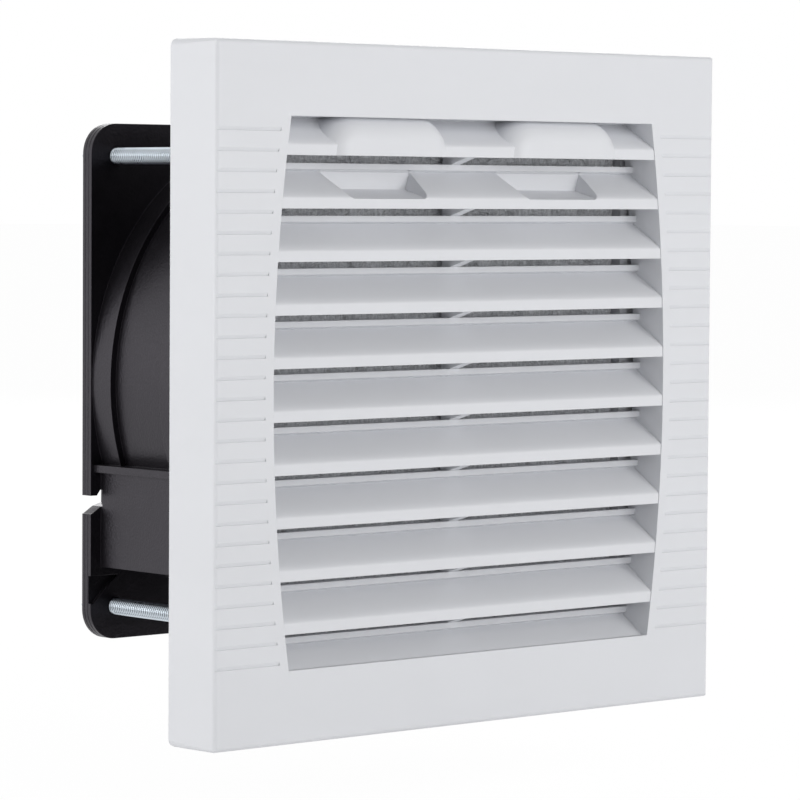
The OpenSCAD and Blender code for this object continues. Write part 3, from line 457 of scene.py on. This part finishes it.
class FILTERFAN_OT_filter(bpy.types.Operator):
    """Make the fibre mat with its lofted faces and loose fibres"""

    bl_idname = "filterfan.filter"
    bl_label = "Filter mat"

    def execute(self, context):
        look = settings().filter
        low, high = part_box("filter_mat")
        material = fibre_mat("filter_fibre", look.painted_deep_shade, look.light)
        mat = add_piece("filter_mat_lofted", self.mat_mesh(low, high, look.loft), "frame", "filter_fibre", material,
                        "filter_mat")
        strands = add_piece("filter_loose_fibres", self.fibre_mesh(low, high, look), "frame", "filter_fibre", material)
        return {"FINISHED"}

    def mat_mesh(self, low, high, loft):
        """A slab whose two faces rise and fall like carded fibre, with rounded rims."""
        bm = bmesh.new()
        cells = MAT_CELLS
        rows = {}
        for face, (depth, into) in enumerate(((low.y, 1), (high.y, -1))):
            for i in range(cells + 1):
                for j in range(cells + 1):
                    u, v = i / cells, j / cells
                    x = low.x + u * (high.x - low.x)
                    z = low.z + v * (high.z - low.z)
                    rim = min(u, v, 1 - u, 1 - v) * (high.x - low.x)
                    broad = noise.noise(Vector((x * BROAD_LOFT, face * 9, z * BROAD_LOFT)))
                    sink = loft * (0.5 + 0.5 * broad)
                    fine = noise.noise(Vector((x * FINE_LOFT, face * 9 + 4, z * FINE_LOFT)))
                    sink += 0.6 * loft * (0.5 + 0.5 * fine)
                    sink += RIM_SINK * max(0, 1 - rim / RIM_WIDTH) ** 2
                    rows[face, i, j] = bm.verts.new((x, depth + into * (MAT_SKIN + sink), z))
        for i in range(cells):
            for j in range(cells):
                bm.faces.new([rows[0, *k] for k in ((i, j), (i + 1, j), (i + 1, j + 1), (i, j + 1))])
                bm.faces.new([rows[1, *k] for k in ((i, j), (i, j + 1), (i + 1, j + 1), (i + 1, j))])
        edge = [(i, 0) for i in range(cells)] + [(cells, j) for j in range(cells)]
        edge += [(i, cells) for i in range(cells, 0, -1)] + [(0, j) for j in range(cells, 0, -1)]
        for here, there in zip(edge, edge[1:] + edge[:1]):
            bm.faces.new([rows[0, *there], rows[0, *here], rows[1, *here], rows[1, *there]])
        return finish_mesh(bm, "filter_mat_lofted")

    def fibre_mesh(self, low, high, look):
        """Loose curled fibres that lie on both faces of the mat."""
        bm = bmesh.new()
        pick = random.Random(FIBRE_SEED)
        left, right = low.x + FIBRE_MARGIN, high.x - FIBRE_MARGIN
        bottom, top = low.z + FIBRE_MARGIN, high.z - FIBRE_MARGIN
        middle = FIBRE_POINTS // 2
        for depth, into in ((low.y, 1), (high.y, -1)):
            for _ in range(look.fibres):
                x = pick.uniform(left, right)
                z = pick.uniform(bottom, top)
                heading = pick.uniform(0, 2 * math.pi)
                curl = pick.uniform(-0.35, 0.35)
                sunk = pick.uniform(0.12, 0.6) * MM
                ring = []
                for step in range(FIBRE_POINTS):
                    x = min(max(x + math.cos(heading) * FIBRE_STEP, left), right)
                    z = min(max(z + math.sin(heading) * FIBRE_STEP, bottom), top)
                    heading += curl + pick.uniform(-0.15, 0.15)
                    y = depth + into * (sunk + 0.25 * MM * ((step - middle) / middle) ** 2)
                    side = Vector((-math.sin(heading), 0, math.cos(heading))) * look.fibre_radius
                    lift = Vector((0, -into, 0)) * look.fibre_radius
                    spot = Vector((x, y, z))
                    now = [bm.verts.new(spot + d) for d in (side, lift, -side)]
                    if not ring:
                        bm.faces.new(now)
                    for k in range(3 if ring else 0):
                        bm.faces.new([ring[k], ring[(k + 1) % 3], now[(k + 1) % 3], now[k]])
                    ring = now
                bm.faces.new(ring)
        bmesh.ops.recalc_face_normals(bm, faces=bm.faces)
        return finish_mesh(bm, "filter_loose_fibres")


class FILTERFAN_OT_seal(bpy.types.Operator):
    """Make the foam seal with its soft edges"""

    bl_idname = "filterfan.seal"
    bl_label = "Panel seal"

    def execute(self, context):
        look = settings().filter
        bm = welded("panel_seal")
        bmesh.ops.dissolve_limit(bm, angle_limit=math.radians(1), verts=bm.verts, edges=bm.edges)
        seal = add_piece("panel_seal_foam", finish_mesh(bm, "panel_seal_foam", False), "frame", "seal_rubber",
                         foam("seal_rubber", look.seal), "panel_seal")
        soften = seal.modifiers.new("Soft edges", "BEVEL")
        soften.width = SEAL_ROUND
        soften.segments = 3
        soften.limit_method = "ANGLE"
        soften.angle_limit = math.radians(50)
        return {"FINISHED"}


class FILTERFAN_OT_fan(bpy.types.Operator):
    """Finish the fan's housing, cap, impeller and terminals"""

    bl_idname = "filterfan.fan"
    bl_label = "Fan"

    def execute(self, context):
        look = settings().plastic
        metal = settings().metal
        housing = moulded_plastic("fan_plastic", look.fan, look.fan_roughness, look.edge, FAN_GRAIN, FAN_RELIEF,
                                  FAN_MOTTLE, look.gloss, FAN_SHINE)
        for node in ("fan_housing", "motor_cap"):
            dress(node, housing)
        dress("impeller", moulded_plastic("impeller_plastic", look.rotor, look.fan_roughness - 0.06, look.edge, 1100,
                                          0.015 * MM, FAN_MOTTLE))
        dress("terminal_insulator", moulded_plastic("insulator_plastic", look.insulator, 0.5, look.edge))
        dress("terminal_tabs", plated_metal("tab_brass", metal.tinned, 0.3))
        return {"FINISHED"}


class FILTERFAN_OT_fasteners(bpy.types.Operator):
    """Cut real threads on the long screws and finish the nuts and guard"""

    bl_idname = "filterfan.fasteners"
    bl_label = "Screws, nuts and guard"

    def execute(self, context):
        look = settings().metal
        zinc = plated_metal("plated_steel", look.zinc, 0.34)
        # Heads and crests get the brighter plating as painted light, and the lower flanks get the dark plating as
        # painted shade.
        screws = add_piece("fan_screws_threaded", self.screw_mesh(look), "frame", "plated_steel",
                           plated_metal("thread_crests_painted_light", look.crest, 0.3), "fan_screws")
        screws.data.materials.append(plated_metal("thread_roots_painted_shade", look.root, 0.5))
        for node in ("fan_nuts", "finger_guard"):
            dress(node, zinc)
        return {"FINISHED"}

    def screw_mesh(self, look):
        """The CAD screws' heads with helical shanks in place of the plain ones."""
        bm = welded("fan_screws")
        low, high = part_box("fan_screws")
        shank = max(v.co.y for v in bm.verts if abs(v.co.x) > high.x - 0.2 * MM)
        centre = max(v.co.x for v in bm.verts if v.co.y > high.y - 0.1 * MM)
        radius = (centre - min(v.co.x for v in bm.verts if v.co.y > high.y - 0.1 * MM and v.co.x > 0)) / 2
        centre -= radius
        plain = [f for f in bm.faces if min(v.co.y for v in f.verts) > shank - 0.01 * MM
                 and max((abs(abs(v.co.x) - centre)) for v in f.verts) < radius * 1.02]
        bmesh.ops.delete(bm, geom=plain, context="FACES")
        bmesh.ops.holes_fill(bm, edges=bm.edges, sides=0)
        for face in bm.faces:
            face.smooth = False
        for side_x in (-1, 1):
            for side_z in (-1, 1):
                self.thread(bm, Vector((side_x * centre, 0, side_z * centre)), shank, high.y, radius, look)
        return finish_mesh(bm, "fan_screws_threaded", None)

    def thread(self, bm, axis, start, end, radius, look):
        """Adds one helical shank, closed at both ends, with a tapered tip."""
        around = THREAD_SIDES
        rows = round((end - start) / look.thread_pitch * THREAD_ROWS)
        last = []
        for row in range(rows + 1):
            y = start + (end - start) * row / rows
            taper = max(0, 1 - (end - y) / THREAD_TAPER) * look.thread_depth
            ring, crests = [], []
            for k in range(around):
                turn = 2 * math.pi * k / around
                phase = (y / look.thread_pitch - k / around) % 1
                crest = min(1, max(0, 1.35 * (1 - abs(2 * phase - 1)) - 0.12))
                crests.append(crest)
                r = min(radius, radius - look.thread_depth * (1 - crest)) - taper
                ring.append(bm.verts.new(axis + Vector((r * math.cos(turn), y, r * math.sin(turn)))))
            if not last:
                bm.faces.new(ring)
            for k in range(around if last else 0):
                n = (k + 1) % around
                face = bm.faces.new([last[k], ring[k], ring[n], last[n]])
                face.smooth = True
                # Faces low on a flank take the second slot, the dark plating painted as shade between the threads.
                face.material_index = int(crests[k] < THREAD_SHADE_LINE)
            last = ring
        bm.faces.new(list(reversed(last)))


class FILTERFAN_OT_motor(bpy.types.Operator):
    """Finish the motor's rotor, stator and bearings"""

    bl_idname = "filterfan.motor"
    bl_label = "Motor"

    def execute(self, context):
        look = settings().metal
        ground = plated_metal("bright_steel", look.steel, 0.2, (300, 4000, 300))
        iron = plated_metal("dark_steel", look.iron, 0.4)
        for node in ("motor_shaft", "front_bearing", "rear_bearing"):
            dress(node, ground)
        for node in ("retaining_clip", "preload_washer"):
            dress(node, iron)
        dress("rotor_cup", plated_metal("cup_steel", look.zinc, 0.3, (400, 3000, 400)))
        dress("rotor_cage", plated_metal("cage_aluminium", look.aluminium, 0.45))
        dress("bearing_tube", plated_metal("tube_brass", look.brass, 0.28, (300, 3500, 300)))
        dress("stator_core", laminations("stator_iron", look.iron))
        dress("stator_coils", windings("coil_copper", look.copper))
        plastic = settings().plastic
        natural = moulded_plastic("natural_plastic", plastic.natural, 0.5, plastic.edge)
        for node in ("stator_insulators", "thrust_washer"):
            dress(node, natural)
        return {"FINISHED"}


class FILTERFAN_OT_stage(bpy.types.Operator):
    """Set up the camera, the lamps, the floor and the white surround"""

    bl_idname = "filterfan.stage"
    bl_label = "Studio"

    def execute(self, context):
        look = settings().studio
        scene = context.scene
        scene.view_settings.view_transform = "Standard"
        self.camera(scene, look)
        self.lamp("key_lamp", KEY_PLACE, look.key, KEY_SIZE)
        self.lamp("side_lamp", SIDE_PLACE, look.side, SIDE_SIZE)
        self.lamp("back_lamp", BACK_PLACE, look.back, BACK_SIZE)
        self.surround(scene, look)
        self.floor(look)
        return {"FINISHED"}

    def camera(self, scene, look):
        data = bpy.data.cameras.new("camera")
        data.lens = look.lens
        data.sensor_width = 36
        data.clip_start = 0.01
        camera = bpy.data.objects.new("camera", data)
        scene.collection.objects.link(camera)
        forward = Vector((math.sin(look.yaw) * math.cos(look.pitch), math.cos(look.yaw) * math.cos(look.pitch),
                          -math.sin(look.pitch)))
        right = Vector((math.cos(look.yaw), -math.sin(look.yaw), 0))
        up = right.cross(forward)
        across = math.cos(look.roll) * right + math.sin(look.roll) * up
        upward = math.cos(look.roll) * up - math.sin(look.roll) * right
        turn = Matrix((across, upward, -forward)).transposed()
        camera.matrix_world = Matrix.Translation(Vector(look.camera)) @ turn.to_4x4()
        scene.camera = camera

    def lamp(self, name, place, watts, size):
        data = bpy.data.lights.new(name, "AREA")
        data.energy = watts
        data.size = size
        lamp = bpy.data.objects.new(name, data)
        bpy.context.scene.collection.objects.link(lamp)
        lamp.location = place
        lamp.rotation_mode = "QUATERNION"
        lamp.rotation_quaternion = (-Vector(place)).to_track_quat("-Z", "Y")

    def seen(self, finish):
        """1 for rays that see the surround directly, in a mirror or through glass."""
        rays = [finish.node("ShaderNodeLightPath", None, None, name)
                for name in ("Is Camera Ray", "Is Glossy Ray", "Is Transmission Ray")]
        return finish.node("ShaderNodeMath", {"use_clamp": True}, {0: rays[0] + rays[1], 1: rays[2]})

    def surround(self, scene, look):
        world = scene.world or bpy.data.worlds.new("surround")
        scene.world = world
        finish = Finish(world)
        even = finish.node("ShaderNodeBackground", None, {"Color": (1, 1, 1, 1), "Strength": look.ambient})
        white = finish.node("ShaderNodeBackground", None, {"Color": (1, 1, 1, 1), "Strength": 1.0})
        mixed = finish.node("ShaderNodeMixShader", None, {0: self.seen(finish), 1: even, 2: white})
        finish.node("ShaderNodeOutputWorld", None, {"Surface": mixed})

    def floor(self, look):
        low, _ = CAD_BOX
        bm = bmesh.new()
        bmesh.ops.create_grid(bm, x_segments=8, y_segments=8, size=FLOOR_REACH)
        mesh = finish_mesh(bm, "floor", False)
        floor = bpy.data.objects.new("floor", mesh)
        bpy.context.scene.collection.objects.link(floor)
        floor.location.z = low.z - look.drop
        finish = new_finish("floor_paint")
        where = finish.place()
        paint = finish.node("ShaderNodeBsdfPrincipled", None, {
            "Base Color": finish.blend(shade(look.floor, 0.99), shade(look.floor, 1.01), finish.noise(where, 9)),
            "Roughness": 0.9})
        white = finish.node("ShaderNodeEmission", None, {"Color": (1, 1, 1, 1), "Strength": FLOOR_GLOW})
        mixed = finish.node("ShaderNodeMixShader", None, {0: self.seen(finish) * FLOOR_WHITE, 1: paint, 2: white})
        finish.node("ShaderNodeOutputMaterial", None, {"Surface": mixed})
        mesh.materials.append(finish.owner)


STEPS = (
    FILTERFAN_OT_cover, FILTERFAN_OT_base, FILTERFAN_OT_filter, FILTERFAN_OT_seal, FILTERFAN_OT_fan,
    FILTERFAN_OT_fasteners, FILTERFAN_OT_motor, FILTERFAN_OT_stage,
)


class FILTERFAN_PT_panel(bpy.types.Panel):
    """Buttons for every piece of the filter fan"""

    bl_idname = "FILTERFAN_PT_panel"
    bl_label = "Filter fan"
    bl_space_type = "VIEW_3D"
    bl_region_type = "UI"
    bl_category = "Filter fan"

    def draw(self, context):
        for step in STEPS:
            self.layout.operator(step.bl_idname)
        look = context.scene.filter_fan
        for group in (look.plastic, look.filter, look.metal, look.studio):
            box = self.layout.box()
            for name in group.__annotations__:
                box.prop(group, name)


CLASSES = (PlasticLook, FilterLook, MetalLook, StudioLook, FilterFanSettings, *STEPS, FILTERFAN_PT_panel)


def register():
    for cls in CLASSES:
        bpy.utils.register_class(cls)
    bpy.types.Scene.filter_fan = PointerProperty(type=FilterFanSettings)


def unregister():
    del bpy.types.Scene.filter_fan
    for cls in reversed(CLASSES):
        bpy.utils.unregister_class(cls)


def main():
    register()
    for step in STEPS:
        group, name = step.bl_idname.split(".")
        getattr(getattr(bpy.ops, group), name)()


if __name__ == "__main__":
    main()
